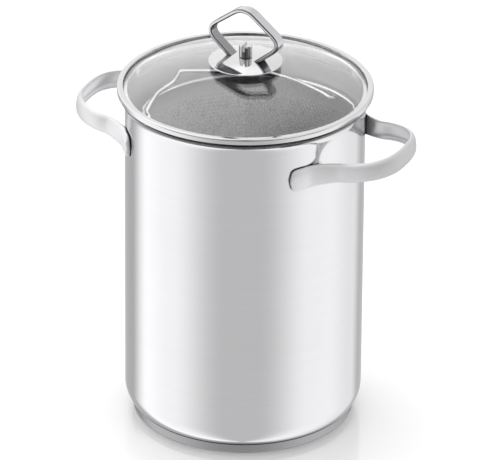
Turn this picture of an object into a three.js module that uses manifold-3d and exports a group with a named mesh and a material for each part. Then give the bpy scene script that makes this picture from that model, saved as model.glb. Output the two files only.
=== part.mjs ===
// Tall slim canner: a stainless pot with an encapsulated base and two loop handles, a lift-out
// perforated basket with two folding wire bails, and a domed glass lid with a steel band and loop knob.
// Millimetres, +Z up. The origin is the centre of the underside, the side handles lie along X.
import * as THREE from "three";
import { mergeVertices } from "three/addons/utils/BufferGeometryUtils.js";
import Module from "manifold-3d";

const wasm = await Module();
wasm.setup();

// Driving dimensions
const ROUND = 48; // facets round every turned piece, so that neighbours keep an even gap
const GAP = 0.3; // clearance between touching pieces

const POT = {
  radius: 81, // outside of the straight wall
  wall: 0.8,
  bottom: 6.3, // underside of the shell, where the base core starts
  bigCorner: 17, // large radius between wall and base
  smallCorner: 2.4, // tight radius that turns the corner under
  flareStart: 227.7, // height at which the pouring rim starts to flare
  flareRadius: 7,
  flareAngle: 60,
};
const BASE = { radius: 75.4, side: 0.7, floor: 0.7, height: 6.1, chamfer: 0.8, coreRadius: 74.4 };

const HANDLE = {
  pivotX: 74.4, // the loop rises about this line
  centreZ: 207.1,
  rise: 6.7, // degrees that the loop climbs away from the wall
  reach: 117.2, // mid-thickness of the grip, from the pot's axis
  halfWidth: 36.9,
  squareness: 2.65, // exponent of the superellipse that the loop follows
  padRadius: 82.0,
  padAngles: [44, 38.5, 33.5],
  height: 13.2,
  crown: 3.1, // outward doming of the strap
  back: 0.9, // thickness behind the crown
  sweep: [7, 18, 30, 43, 56, 69, 80], // degrees along the superellipse at which the path is pinned
};

const LID = {
  seat: 234.9, // underside of the band, on the pot's rim
  bandRadius: 86.3,
  bandTop: 240.6,
  bandRound: 1.2,
  lipRadius: 82.2,
  sheet: 0.8,
  skirtRadius: 79.2,
  skirtBottom: 230.5,
  glassEdge: 85.2,
  glassEdgeBottom: 236,
  glassEdgeTop: 239.4,
  domeRadius: 81.6, // where the dome meets the flat edge
  apex: 256.5,
  glass: 3.4,
  boreRadius: 4.5,
};

const KNOB = {
  discRadius: 25,
  discEdge: 257.7,
  discSheet: 0.9,
  discCrown: 2.9,
  screwRadius: 2.5,
  screwClearance: 2.8,
  postRadius: 4.5,
  postHeight: 8.2,
  slotWidth: 2.4,
  slotDepth: 3.6,
  strapWidth: 8.5,
  strapThickness: 2.8,
  footX: 12,
  cornerX: 29.8,
  cornerRise: 14.3,
  apexRise: 36.5,
  cornerTrim: 10.5,
  apexTrim: 10,
  footRise: 1.15, // height of the loop's foot centres over the disc
  turn: -6, // degrees that the loop is turned about the screw
  sealTop: { radius: 10, thickness: 2.4 },
  sealBottom: { radius: 9, thickness: 1.5 },
  washer: { radius: 8, thickness: 1 },
  headRadius: 5,
  headHeight: 2.4,
  headEase: 1.2,
  screwEngagement: 3.4, // how far the screw reaches into the post
};

const BASKET = {
  radius: 73.5,
  shift: [3, 1.5], // the loose basket rests to one side of the pot's axis
  sheet: 0.7,
  bottom: 16,
  curlRadius: 1.7,
  curlSheet: 0.5,
  curlTop: 213.9,
  curlEnd: -100, // degrees, where the rolled edge stops short of the wall
  wireRadius: 0.85,
  floorFlange: 7,
  footRadius: 60,
  footSheet: 0.8,
  footFlange: 6,
  footBottom: 7.4,
};

const BAIL = {
  centres: { back: 139, front: 319 }, // compass direction of each grip, from +X towards +Y
  halfSpread: 75, // degrees from the grip's middle to each pivot
  pivotRadius: 71.5,
  pivotZ: 209,
  wire: 1.5, // wire radius
  holeRadius: 2.1,
  tipX: 73.2, // outer end of the wire along the pivot line
  elbowX: 68.5, // where the hook turns to follow the wall
  legRadius: 70.8,
  restRadius: 73.4, // over the rolled rim
  restRise: 6.9, // height of the wire above the pivots where it lies over the rolled rim
  gripHigh: 13.8, // the grip slopes from its raised end to the other
  gripLow: 7.8,
  gripHalf: 15, // degrees from its middle to either end
};

const deg = THREE.MathUtils.degToRad;

// Materials
const polished = new THREE.MeshStandardMaterial({ color: 0xd9dadb, roughness: 0.12, metalness: 1 });
const satin = new THREE.MeshStandardMaterial({ color: 0xcfd0d1, roughness: 0.35, metalness: 1 });
const aluminium = new THREE.MeshStandardMaterial({ color: 0xb9bcc0, roughness: 0.5, metalness: 1 });
const glass = new THREE.MeshStandardMaterial({
  color: 0xe8eeee,
  roughness: 0.03,
  metalness: 0,
  transparent: true,
  opacity: 0.35,
});
const silicone = new THREE.MeshStandardMaterial({ color: 0xe4e4e0, roughness: 0.6, metalness: 0 });

// Booleans
function toSolid(geometry) {
  const bare = geometry.clone();
  bare.deleteAttribute("normal");
  bare.deleteAttribute("uv");
  const merged = mergeVertices(bare, 1e-4);
  return new wasm.Manifold(
    new wasm.Mesh({
      numProp: 3,
      vertProperties: new Float32Array(merged.attributes.position.array),
      triVerts: new Uint32Array(merged.index.array),
    }),
  );
}

function toGeometry(solid) {
  const mesh = solid.getMesh();
  const geometry = new THREE.BufferGeometry();
  geometry.setAttribute("position", new THREE.BufferAttribute(mesh.vertProperties, 3));
  geometry.setIndex(new THREE.BufferAttribute(mesh.triVerts, 1));
  const flat = geometry.toNonIndexed();
  flat.computeVertexNormals();
  return flat;
}

function cut(geometry, tools) {
  return toGeometry(tools.reduce((solid, tool) => solid.subtract(toSolid(tool)), toSolid(geometry)));
}

// Turned pieces: a profile of [radius, height] points, anticlockwise when the axis is on its left
function turned(points, closed, facets = ROUND) {
  const profile = points.map(([r, z]) => new THREE.Vector2(r, z));
  if (closed) profile.push(profile[0].clone());
  return new THREE.LatheGeometry(profile, facets).rotateX(Math.PI / 2);
}

function ring(inner, { radius: outer, thickness }, low, facets = 24) {
  const section = [
    [inner, low],
    [outer, low],
    [outer, low + thickness],
    [inner, low + thickness],
  ];
  return turned(section, true, facets);
}

// Points of an arc in a profile, angles in degrees from the outward direction towards up
function arc(r, z, radius, from, to, steps) {
  return Array.from({ length: steps + 1 }, (_, i) => {
    const a = deg(from + ((to - from) * i) / steps);
    return [r + radius * Math.cos(a), z + radius * Math.sin(a)];
  });
}

function piece(name, geometry, material) {
  const mesh = new THREE.Mesh(geometry, material);
  mesh.name = name;
  return mesh;
}

// Pot shell: floor, two-radius corner, straight wall and flared pouring rim
function potShell() {
  const { radius, wall, bottom, bigCorner, smallCorner, flareStart, flareRadius, flareAngle } = POT;
  const turn = 45; // the small radius covers the first 45 degrees, the large one the rest
  const skin = (inset) => {
    const big = bigCorner - inset;
    const small = smallCorner - inset;
    const bigR = radius - bigCorner;
    const knee = deg(turn);
    const smallR = bigR + (bigCorner - smallCorner) * Math.sin(knee);
    const smallZ = bottom + smallCorner;
    const bigZ = smallZ + (bigCorner - smallCorner) * Math.cos(knee);
    return [
      [0, bottom + inset],
      ...arc(smallR, smallZ, small, -90, -90 + turn, 2),
      ...arc(bigR, bigZ, big, -90 + turn, 0, 5).slice(1),
      ...arc(radius + flareRadius, flareStart, flareRadius + inset, 180, 180 - flareAngle, 4),
    ];
  };
  return turned([...skin(0), ...skin(wall).reverse()], false);
}

// Steel cap pressed over the aluminium heat-spreading disc
function baseCap() {
  const { radius, side, floor, height, chamfer } = BASE;
  const inner = radius - side;
  return turned(
    [
      [0, 0],
      [radius - chamfer, 0],
      [radius, chamfer],
      [radius, height],
      [inner, height],
      [inner, floor],
      [0, floor],
    ],
    false,
  );
}

function baseCore() {
  const low = BASE.floor + GAP;
  const high = POT.bottom - GAP;
  return turned(
    [
      [0, low],
      [BASE.coreRadius, low],
      [BASE.coreRadius, high],
      [0, high],
    ],
    false,
  );
}

// Loop handle: a crowned strap that follows a superellipse and ends in two pads on the wall
function sideHandle() {
  const { pivotX, reach, halfWidth, squareness, padRadius, padAngles, height, crown, back } = HANDLE;
  const half = padAngles.map((a) => [padRadius * Math.cos(deg(a)), padRadius * Math.sin(deg(a))]);
  for (const angle of HANDLE.sweep) {
    const power = 2 / squareness;
    const along = Math.sin(deg(angle)) ** power;
    const across = Math.cos(deg(angle)) ** power;
    half.push([pivotX + (reach - pivotX) * along, halfWidth * across]);
  }
  const points = [
    ...half.map(([x, y]) => [x, -y]),
    [reach, 0],
    ...half.reverse(),
  ].map(([x, y]) => new THREE.Vector3(x - pivotX, y, 0));
  const section = new THREE.Shape();
  section.moveTo(-height / 2, back);
  section.lineTo(-height / 2, 0);
  section.absellipse(0, 0, height / 2, crown, Math.PI, 2 * Math.PI, false);
  section.lineTo(height / 2, back);
  const strap = new THREE.ExtrudeGeometry(section, {
    steps: 52,
    curveSegments: 4,
    bevelEnabled: false,
    extrudePath: new THREE.CatmullRomCurve3(points, false, "centripetal"),
  });
  strap.rotateY(-deg(HANDLE.rise)).translate(pivotX, 0, HANDLE.centreZ);
  const wall = new THREE.CylinderGeometry(POT.radius + GAP, POT.radius + GAP, 80, ROUND)
    .rotateX(Math.PI / 2)
    .translate(0, 0, HANDLE.centreZ);
  return cut(strap, [wall]);
}

// Steel band folded round the glass edge, with a skirt that centres the lid in the pot
function lidBand() {
  const { seat, bandRadius, bandTop, bandRound: round, lipRadius, sheet, skirtRadius, skirtBottom } = LID;
  const inside = bandRadius - sheet;
  return turned(
    [
      [skirtRadius - sheet, skirtBottom],
      [skirtRadius, skirtBottom],
      [skirtRadius, seat],
      [bandRadius - sheet / 2, seat],
      [bandRadius, seat + sheet / 2],
      ...arc(bandRadius - round, bandTop - round, round, 0, 90, 3),
      [lipRadius, bandTop + 0.1],
      [lipRadius, bandTop - sheet],
      ...arc(bandRadius - round, bandTop - round, round - sheet, 90, 0, 2),
      [inside, seat + sheet],
      [skirtRadius - sheet, seat + sheet],
    ],
    true,
  );
}

// Height of the dome above the flat edge, for its outer skin
function domeHeight(r) {
  const rise = LID.apex - LID.glassEdgeTop;
  const sphere = (LID.domeRadius ** 2 + rise ** 2) / (2 * rise);
  return LID.apex - sphere + Math.sqrt(sphere ** 2 - r ** 2);
}

function lidGlass() {
  const { boreRadius, domeRadius, glassEdge, glassEdgeBottom, glassEdgeTop, glass: thick } = LID;
  const rings = 7;
  const span = (domeRadius - boreRadius) / (rings - 1);
  const radii = Array.from({ length: rings }, (_, i) => boreRadius + span * i);
  return turned(
    [
      ...radii.map((r) => [r, domeHeight(r) - thick]),
      [glassEdge, glassEdgeBottom],
      [glassEdge, glassEdgeTop],
      ...radii.reverse().map((r) => [r, domeHeight(r)]),
    ],
    true,
  );
}

// Crown of the knob's disc at a radius, for its outer skin
function discTop(r) {
  const { discRadius, discEdge, discSheet, discCrown } = KNOB;
  return discEdge + discSheet + discCrown * (1 - (r / discRadius) ** 2);
}

function knobDisc() {
  const { discRadius, discEdge, discSheet, screwClearance } = KNOB;
  const radii = [screwClearance, 10, 17, 22.5];
  return turned(
    [
      ...radii.map((r) => [r, discTop(r) - discSheet]),
      [discRadius - 0.3, discEdge],
      [discRadius, discEdge + discSheet / 2],
      [discRadius - 0.3, discTop(discRadius - 0.3)],
      ...radii.reverse().map((r) => [r, discTop(r)]),
    ],
    true,
  );
}

// Slotted sleeve nut that stands in the middle of the loop
function knobPost() {
  const { postRadius, postHeight, screwClearance, slotWidth, slotDepth } = KNOB;
  const low = discTop(0) + GAP;
  const high = low + postHeight;
  const bevel = 0.5;
  const barrel = turned(
    [
      [screwClearance, low],
      [postRadius, low],
      [postRadius, high - bevel],
      [postRadius - bevel, high],
      [0, high],
      [0, high - slotDepth - 1],
      [screwClearance, high - slotDepth - 1],
      [screwClearance, low],
    ],
    false,
    24,
  );
  const slot = new THREE.BoxGeometry(slotWidth, 3 * postRadius, 2 * slotDepth).translate(0, 0, high);
  return cut(barrel, [slot]);
}

// Strap bent into a rounded diamond whose two feet stand on the disc
function knobLoop() {
  const { footX, cornerX, cornerRise, apexRise, cornerTrim, apexTrim, strapWidth, strapThickness } = KNOB;
  const along = (from, to, distance) => from.clone().add(to.clone().sub(from).setLength(distance));
  const foot = new THREE.Vector3(footX, 0, 0);
  const corner = new THREE.Vector3(cornerX, cornerRise, 0);
  const apex = new THREE.Vector3(0, apexRise, 0);
  const mirrored = (p) => new THREE.Vector3(-p.x, p.y, 0);
  const stops = {
    cornerIn: along(corner, foot, cornerTrim),
    cornerOut: along(corner, apex, cornerTrim),
    apexIn: along(apex, corner, apexTrim),
  };
  const path = new THREE.CurvePath();
  path.add(new THREE.LineCurve3(foot, stops.cornerIn));
  path.add(new THREE.QuadraticBezierCurve3(stops.cornerIn, corner, stops.cornerOut));
  path.add(new THREE.LineCurve3(stops.cornerOut, stops.apexIn));
  path.add(new THREE.QuadraticBezierCurve3(stops.apexIn, apex, mirrored(stops.apexIn)));
  path.add(new THREE.LineCurve3(mirrored(stops.apexIn), mirrored(stops.cornerOut)));
  path.add(
    new THREE.QuadraticBezierCurve3(mirrored(stops.cornerOut), mirrored(corner), mirrored(stops.cornerIn)),
  );
  path.add(new THREE.LineCurve3(mirrored(stops.cornerIn), mirrored(foot)));
  const section = new THREE.Shape();
  const w = strapWidth / 2;
  const t = strapThickness / 2;
  const ease = 0.6;
  section.moveTo(-w + ease, -t);
  section.lineTo(w - ease, -t);
  section.lineTo(w, -t + ease);
  section.lineTo(w, t - ease);
  section.lineTo(w - ease, t);
  section.lineTo(-w + ease, t);
  section.lineTo(-w, t - ease);
  section.lineTo(-w, -t + ease);
  return new THREE.ExtrudeGeometry(section, { steps: 48, bevelEnabled: false, extrudePath: path })
    .rotateX(Math.PI / 2)
    .rotateZ(deg(KNOB.turn))
    .translate(0, 0, discTop(footX) + KNOB.footRise);
}

function knobScrew(headTop, shankTop) {
  const { headRadius: head, headHeight, headEase: ease, screwRadius: shank } = KNOB;
  const headLow = headTop - headHeight;
  return turned(
    [
      [0, headLow],
      [head - ease, headLow],
      [head, headLow + ease],
      [head, headTop],
      [shank, headTop],
      [shank, shankTop],
      [0, shankTop],
    ],
    false,
    24,
  );
}

// Rolled and welded side sheet of the basket, its top edge curled outwards round a wire
function basketWall(pivots) {
  const { radius, sheet, bottom, curlRadius, curlSheet, curlTop, curlEnd } = BASKET;
  const curlR = radius - sheet + curlRadius;
  const curlZ = curlTop - curlRadius;
  const shell = turned(
    [
      [radius - sheet, bottom],
      [radius, bottom],
      [radius, curlZ - 1],
      ...arc(curlR, curlZ, curlRadius - curlSheet, 180, curlEnd, 7),
      ...arc(curlR, curlZ, curlRadius, curlEnd, 180, 7),
    ],
    true,
  );
  return cut(shell, pivots);
}

function basketRimWire() {
  const { radius, sheet, curlRadius, curlTop, wireRadius } = BASKET;
  const section = arc(radius - sheet + curlRadius, curlTop - curlRadius, wireRadius, 0, 300, 5);
  return turned(section, true);
}

function basketFloor() {
  const { radius, sheet, bottom, floorFlange } = BASKET;
  const rim = radius - sheet - GAP;
  const bend = 3;
  return turned(
    [
      [0, bottom],
      [rim - bend, bottom],
      [rim, bottom + bend],
      [rim, bottom + floorFlange],
      [rim - sheet, bottom + floorFlange],
      [rim - sheet, bottom + bend],
      [rim - bend - 0.3, bottom + sheet],
      [0, bottom + sheet],
    ],
    false,
  );
}

function basketFoot() {
  const { footRadius, footSheet, footFlange, footBottom, bottom } = BASKET;
  const top = bottom - GAP;
  return turned(
    [
      [footRadius - footSheet, footBottom],
      [footRadius, footBottom],
      [footRadius, top - footSheet],
      [footRadius + footFlange, top - footSheet],
      [footRadius + footFlange, top],
      [footRadius - footSheet, top],
    ],
    true,
  );
}

// The line through one bail's pivots: how far it passes from the basket's axis
const PIVOT_OFFSET = BAIL.pivotRadius * Math.cos(deg(BAIL.halfSpread));

// Moves a shape from a bail's own frame (X along its pivots, Y towards the grip) into the pot's
function placeBail(geometry, compass) {
  return geometry.translate(0, PIVOT_OFFSET, BAIL.pivotZ).rotateZ(deg(compass - 90));
}

// Wire bail: two hooked ends, legs that climb along the wall and over the rim, and a sloping grip
function bail(compass) {
  const { tipX, elbowX, legRadius, restRadius, restRise, gripHigh, gripLow, gripHalf, wire } = BAIL;
  const onRim = (angle, r, rise) =>
    new THREE.Vector3(r * Math.sin(deg(angle)), r * Math.cos(deg(angle)) - PIVOT_OFFSET, rise);
  const leg = (side) => [
    new THREE.Vector3(side * tipX, 0, 0),
    new THREE.Vector3(side * (tipX - 2.8), 0, 0),
    new THREE.Vector3(side * elbowX, 0.8, 0.1),
    onRim(side * 69, legRadius, 1.1),
    onRim(side * 57, legRadius, 3.0),
    onRim(side * 49, legRadius, 4.7),
    onRim(side * 42, legRadius + 0.4, 5.9),
    onRim(side * 35, restRadius - 0.9, restRise - 0.2),
    onRim(side * 27, restRadius, restRise + 0.1),
  ];
  const points = [
    ...leg(1),
    onRim(gripHalf + 6, restRadius - 0.6, restRise + 0.2),
    onRim(gripHalf, restRadius - 1.4, gripLow),
    onRim(0, restRadius - 2.7, (gripHigh + gripLow) / 2),
    onRim(1 - gripHalf, restRadius - 0.2, gripHigh - 0.4),
    onRim(-gripHalf - 0.6, restRadius + 0.3, gripHigh - 0.3),
    onRim(-gripHalf - 3, restRadius, gripHigh - 3.4),
    onRim(-gripHalf - 6, restRadius, restRise + 1.4),
    ...leg(-1).reverse(),
  ];
  const path = new THREE.CatmullRomCurve3(points, false, "centripetal");
  const section = new THREE.Shape();
  section.absarc(0, 0, wire, 0, 2 * Math.PI, false);
  const rod = new THREE.ExtrudeGeometry(section, {
    steps: 64,
    curveSegments: 4,
    bevelEnabled: false,
    extrudePath: path,
  });
  return placeBail(rod, compass);
}

function bailHoles(compass) {
  const wallX = Math.sqrt(BASKET.radius ** 2 - PIVOT_OFFSET ** 2);
  return [-1, 1].map((side) => {
    const drill = new THREE.CylinderGeometry(BAIL.holeRadius, BAIL.holeRadius, 8, 12)
      .rotateZ(Math.PI / 2)
      .translate(side * wallX, 0, 0);
    return placeBail(drill, compass);
  });
}

// Assembly
const pot = new THREE.Group();
pot.add(piece("pot_body", potShell(), polished));
pot.add(piece("base_core", baseCore(), aluminium));
pot.add(piece("base_cap", baseCap(), satin));
pot.add(piece("side_handle_right", sideHandle(), satin));
pot.add(piece("side_handle_left", sideHandle().rotateZ(Math.PI), satin));

const basket = new THREE.Group();
basket.position.set(...BASKET.shift, 0);
const holes = Object.values(BAIL.centres).flatMap(bailHoles);
basket.add(piece("basket_wall", basketWall(holes), satin));
basket.add(piece("basket_rim_wire", basketRimWire(), satin));
basket.add(piece("basket_floor", basketFloor(), satin));
basket.add(piece("basket_foot_ring", basketFoot(), satin));
for (const [side, compass] of Object.entries(BAIL.centres)) {
  basket.add(piece("basket_bail_" + side, bail(compass), polished));
}

const lid = new THREE.Group();
const { screwClearance: bore, sealTop, sealBottom, washer } = KNOB;
const glassUnderside = domeHeight(LID.boreRadius) - LID.glass;
const upperSeal = LID.apex + GAP;
const lowerSeal = glassUnderside - GAP - 0.2 - sealBottom.thickness; // clear of the dome's curve too
const washerLow = lowerSeal - GAP - washer.thickness;
lid.add(piece("lid_rim_band", lidBand(), polished));
lid.add(piece("lid_glass", lidGlass(), glass));
lid.add(piece("knob_seal_top", ring(bore, sealTop, upperSeal), silicone));
lid.add(piece("knob_seal_bottom", ring(bore, sealBottom, lowerSeal), silicone));
lid.add(piece("knob_washer", ring(bore, washer, washerLow), satin));
lid.add(piece("knob_screw", knobScrew(washerLow - GAP, discTop(0) + KNOB.screwEngagement), satin));
lid.add(piece("knob_disc", knobDisc(), polished));
lid.add(piece("knob_post", knobPost(), polished));
lid.add(piece("knob_loop", knobLoop(), satin));

const canner = new THREE.Group();
canner.add(pot, basket, lid);

export default canner;
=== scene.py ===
import math

import bmesh
import bpy
from mathutils import Matrix, Vector


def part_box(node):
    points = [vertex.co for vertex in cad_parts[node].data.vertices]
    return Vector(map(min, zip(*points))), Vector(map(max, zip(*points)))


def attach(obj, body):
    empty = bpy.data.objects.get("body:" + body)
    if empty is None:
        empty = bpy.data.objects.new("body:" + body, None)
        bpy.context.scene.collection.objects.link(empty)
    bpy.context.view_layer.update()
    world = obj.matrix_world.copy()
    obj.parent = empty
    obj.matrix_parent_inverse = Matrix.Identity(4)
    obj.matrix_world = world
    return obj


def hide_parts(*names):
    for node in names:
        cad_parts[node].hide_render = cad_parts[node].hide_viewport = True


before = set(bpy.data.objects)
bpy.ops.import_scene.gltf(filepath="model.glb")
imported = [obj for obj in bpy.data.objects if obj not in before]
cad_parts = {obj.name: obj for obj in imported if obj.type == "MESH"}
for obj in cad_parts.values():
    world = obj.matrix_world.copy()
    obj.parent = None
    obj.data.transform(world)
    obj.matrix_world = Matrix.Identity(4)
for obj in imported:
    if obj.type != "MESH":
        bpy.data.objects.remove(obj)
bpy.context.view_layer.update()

ROUND = 192  # segments round a turned piece
CREASE = math.radians(38)  # edges sharper than this stay crisp
GAP = 0.0003  # clearance between neighbouring pieces

POT_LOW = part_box("pot_body")[0]
CAP_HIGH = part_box("base_cap")[1]
WALL_LOW, WALL_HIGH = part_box("basket_wall")
BAND_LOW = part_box("lid_rim_band")[0]
DISC_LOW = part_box("knob_disc")[0]
HANDLE_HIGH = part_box("side_handle_right")[1]

POT_RADIUS = 0.081
BASKET_AXIS = ((WALL_LOW.x + WALL_HIGH.x) / 2, (WALL_LOW.y + WALL_HIGH.y) / 2)

CAMERA = {
    "azimuth": 24.5,
    "elevation": 26.675,
    "roll": 0.445,
    "distance": 3.88325,
    "lens": 427.86,
    "aim": (-0.00252, 0.13118),  # from the origin: along the camera's right, and up
}


# Camera, floor and light


def look_axes(azimuth, elevation, roll=0.0):
    """Right, up and back directions of a camera that looks at the axis."""
    a, e, r = (math.radians(v) for v in (azimuth, elevation, roll))
    back = Vector((math.sin(a) * math.cos(e), -math.cos(a) * math.cos(e), math.sin(e)))
    right = Vector((math.cos(a), math.sin(a), 0))
    up = back.cross(right)
    return right * math.cos(r) + up * math.sin(r), up * math.cos(r) - right * math.sin(r), back


def make_camera():
    right, up, back = look_axes(CAMERA["azimuth"], CAMERA["elevation"], CAMERA["roll"])
    level = look_axes(CAMERA["azimuth"], CAMERA["elevation"])[0]
    aim = level * CAMERA["aim"][0] + Vector((0, 0, CAMERA["aim"][1]))
    data = bpy.data.cameras.new("camera")
    data.lens = CAMERA["lens"]
    data.sensor_width = 36
    data.clip_end = 50
    camera = bpy.data.objects.new("camera", data)
    place = Matrix((right, up, back)).transposed().to_4x4()
    place.translation = aim + back * CAMERA["distance"]
    camera.matrix_world = place
    bpy.context.scene.collection.objects.link(camera)
    bpy.context.scene.camera = camera


class Nodes:
    """Short way to build a node tree."""

    def __init__(self, tree):
        self.tree = tree
        tree.nodes.clear()

    def add(self, kind, **inputs):
        node = self.tree.nodes.new("ShaderNode" + kind)
        for key, value in inputs.items():
            self.set(node, key, value)
        return node

    def set(self, node, key, value):
        slot = node.inputs[key.replace("_", " ")] if isinstance(key, str) else node.inputs[key]
        if isinstance(value, bpy.types.NodeSocket):
            self.tree.links.new(value, slot)
        else:
            slot.default_value = value

    def math(self, operation, *values):
        node = self.tree.nodes.new("ShaderNodeMath")
        node.operation = operation
        for index, value in enumerate(values):
            self.set(node, index, value)
        return node.outputs[0]

    def ramp(self, value, stops):
        node = self.tree.nodes.new("ShaderNodeValToRGB")
        node.color_ramp.interpolation = "EASE"
        elements = node.color_ramp.elements
        while len(elements) > 1:
            elements.remove(elements[-1])
        for index, (place, shade) in enumerate(stops):
            element = elements[0] if index == 0 else elements.new(place)
            element.position = place
            element.color = (shade, shade, shade, 1)
        self.tree.links.new(value, node.inputs[0])
        return node.outputs[0]


def compass_share(nodes, x, y):
    """0 to 1 round the horizon: 0.5 is the front, where the photo was taken from, and 0 and 1 the back."""
    angle = nodes.math("ARCTAN2", y, x)
    camera_side = math.radians(CAMERA["azimuth"] - 90)
    turned_angle = nodes.math("SUBTRACT", angle, camera_side - math.pi)
    share = nodes.math("DIVIDE", turned_angle, 2 * math.pi)
    return nodes.math("FRACT", share)


# Brightness of the surround against direction: 0.5 is the front
SURROUND = [
    (0.0, 0.96), (0.12, 1.15), (0.2, 1.1), (0.38, 1.0), (0.45, 0.55), (0.5, 0.3),
    (0.55, 0.55), (0.62, 1.0), (0.8, 0.85), (0.93, 0.8), (1.0, 0.96),
]
# Brightness against height: 0.5 is the horizon and 1 overhead
SKY = [(0.5, 1.0), (0.75, 1.0), (0.9, 0.95), (1.0, 0.85)]
# A brighter panel high at the back
PANEL = [(0.78, 0.0), (0.86, 0.35)]
PANEL_SIDES = [(0.06, 1.0), (0.17, 1.0), (0.22, 0.0), (0.9, 0.0), (0.96, 0.7)]
# A dim strip over the horizon on the front half
HORIZON = [(0.5, 0.8), (0.7, 0.8), (0.8, 0.0)]
FRONT = [(0.25, 0.0), (0.33, 1.0), (0.67, 1.0), (0.75, 0.0)]
# Brightness below the horizon against direction, which steel sees in place of the floor
TABLE = [
    (0.0, 0.45), (0.115, 0.45), (0.2, 1.2), (0.29, 1.1), (0.45, 0.59), (0.54, 0.59),
    (0.69, 1.05), (0.75, 1.07), (0.86, 0.88), (0.92, 0.47), (1.0, 0.45),
]
BELOW = [(0.47, 1.0), (0.5, 0.0)]  # how far a direction counts as below the horizon
# Strength of all that, as steel sees it, through the lid and on the floor
STUDIO, THROUGH_GLASS, ON_TABLE = 1.33, 1.65, 2.0


def make_world():
    """Soft studio surround; the steel sees its lower half in place of the floor."""
    world = bpy.data.worlds.new("studio")
    bpy.context.scene.world = world
    world.use_nodes = True
    n = Nodes(world.node_tree)
    coordinates = n.add("TexCoord")
    parts = n.add("SeparateXYZ", Vector=coordinates.outputs["Generated"])
    x, y, z = parts.outputs
    round_share = compass_share(n, x, y)
    level = n.math("MULTIPLY_ADD", z, 0.5, 0.5)
    gloom = n.math("MULTIPLY", n.ramp(level, HORIZON), n.ramp(round_share, FRONT))
    over = n.math("MULTIPLY", n.ramp(round_share, SURROUND), n.ramp(level, SKY))
    over = n.math("MULTIPLY", over, n.math("SUBTRACT", 1.0, gloom))
    panel = n.math("MULTIPLY", n.ramp(level, PANEL), n.ramp(round_share, PANEL_SIDES))
    over = n.math("ADD", over, panel)
    under = n.ramp(round_share, TABLE)
    below = n.ramp(level, BELOW)
    lit = n.add("MixRGB", Fac=below, Color1=over, Color2=under)
    path = n.add("LightPath")
    boost = n.math("MULTIPLY_ADD", path.outputs["Is Transmission Ray"], THROUGH_GLASS - STUDIO, STUDIO)
    boost = n.math("MULTIPLY_ADD", path.outputs["Is Diffuse Ray"], ON_TABLE - STUDIO, boost)
    surround = n.add("Background", Color=(1, 1, 1, 1), Strength=n.math("MULTIPLY", lit.outputs[0], boost))
    plain = n.add("Background", Color=(1, 1, 1, 1), Strength=1.0)
    mix = n.add("MixShader")
    n.set(mix, 0, path.outputs["Is Camera Ray"])
    n.set(mix, 1, surround.outputs[0])
    n.set(mix, 2, plain.outputs[0])
    output = n.add("OutputWorld")
    n.set(output, "Surface", mix.outputs[0])


def disc(name, radius, height):
    """A thin flat sheet of many sectors."""
    bm = bmesh.new()
    bmesh.ops.create_circle(bm, cap_ends=True, segments=96, radius=radius)
    mesh = bpy.data.meshes.new(name)
    bm.to_mesh(mesh)
    bm.free()
    sheet = bpy.data.objects.new(name, mesh)
    sheet.location.z = height
    bpy.context.scene.collection.objects.link(sheet)
    return sheet


FLOOR_RADIUS, FLOOR_DROP = 9.0, 0.0002  # the drop keeps it clear of the base
FLOOR_SHINE = 0.16


def make_floor():
    """White gloss table, which the steel's reflections don't see."""
    table = disc("floor", FLOOR_RADIUS, -FLOOR_DROP)
    material = bpy.data.materials.new("floor")
    material.use_nodes = True
    n = Nodes(material.node_tree)
    matt = n.add("BsdfDiffuse", Color=(0.8, 0.8, 0.8, 1))
    shine = n.add("BsdfGlossy", Color=(1, 1, 1, 1), Roughness=0.04)
    mix = n.add("MixShader", Fac=FLOOR_SHINE)
    n.set(mix, 1, matt.outputs[0])
    n.set(mix, 2, shine.outputs[0])
    n.set(n.add("OutputMaterial"), "Surface", mix.outputs[0])
    table.data.materials.append(material)
    table.visible_glossy = False


# Materials


def object_point(n):
    parts = n.add("SeparateXYZ", Vector=n.add("TexCoord").outputs["Object"])
    return parts.outputs


def grain_vector(n, lie, fine):
    """Coordinates that stretch noise along the way a surface was polished."""
    x, y, z = object_point(n)
    combine = n.add("CombineXYZ")
    if lie == "round":  # rings about the axis: constant round it, fine up and across it
        radius = n.math("SQRT", n.math("ADD", n.math("MULTIPLY", x, x), n.math("MULTIPLY", y, y)))
        angle = n.math("ARCTAN2", y, x)
        n.set(combine, 0, n.math("MULTIPLY", radius, fine))
        n.set(combine, 1, n.math("MULTIPLY", z, fine))
        n.set(combine, 2, n.math("MULTIPLY", n.math("SINE", angle), 2.0))
    else:  # strokes along X and Y, fine over the height
        n.set(combine, 0, n.math("MULTIPLY", x, fine * 0.08))
        n.set(combine, 1, n.math("MULTIPLY", y, fine * 0.08))
        n.set(combine, 2, n.math("MULTIPLY", z, fine))
    return combine.outputs[0]


CREVICE_SHADE = [(0.0, 0.03), (0.5, 0.15), (0.8, 1.0)]  # painted shade: tone against how open a spot is
CLOUD = 0.03  # how much the roughness varies from patch to patch


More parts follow.
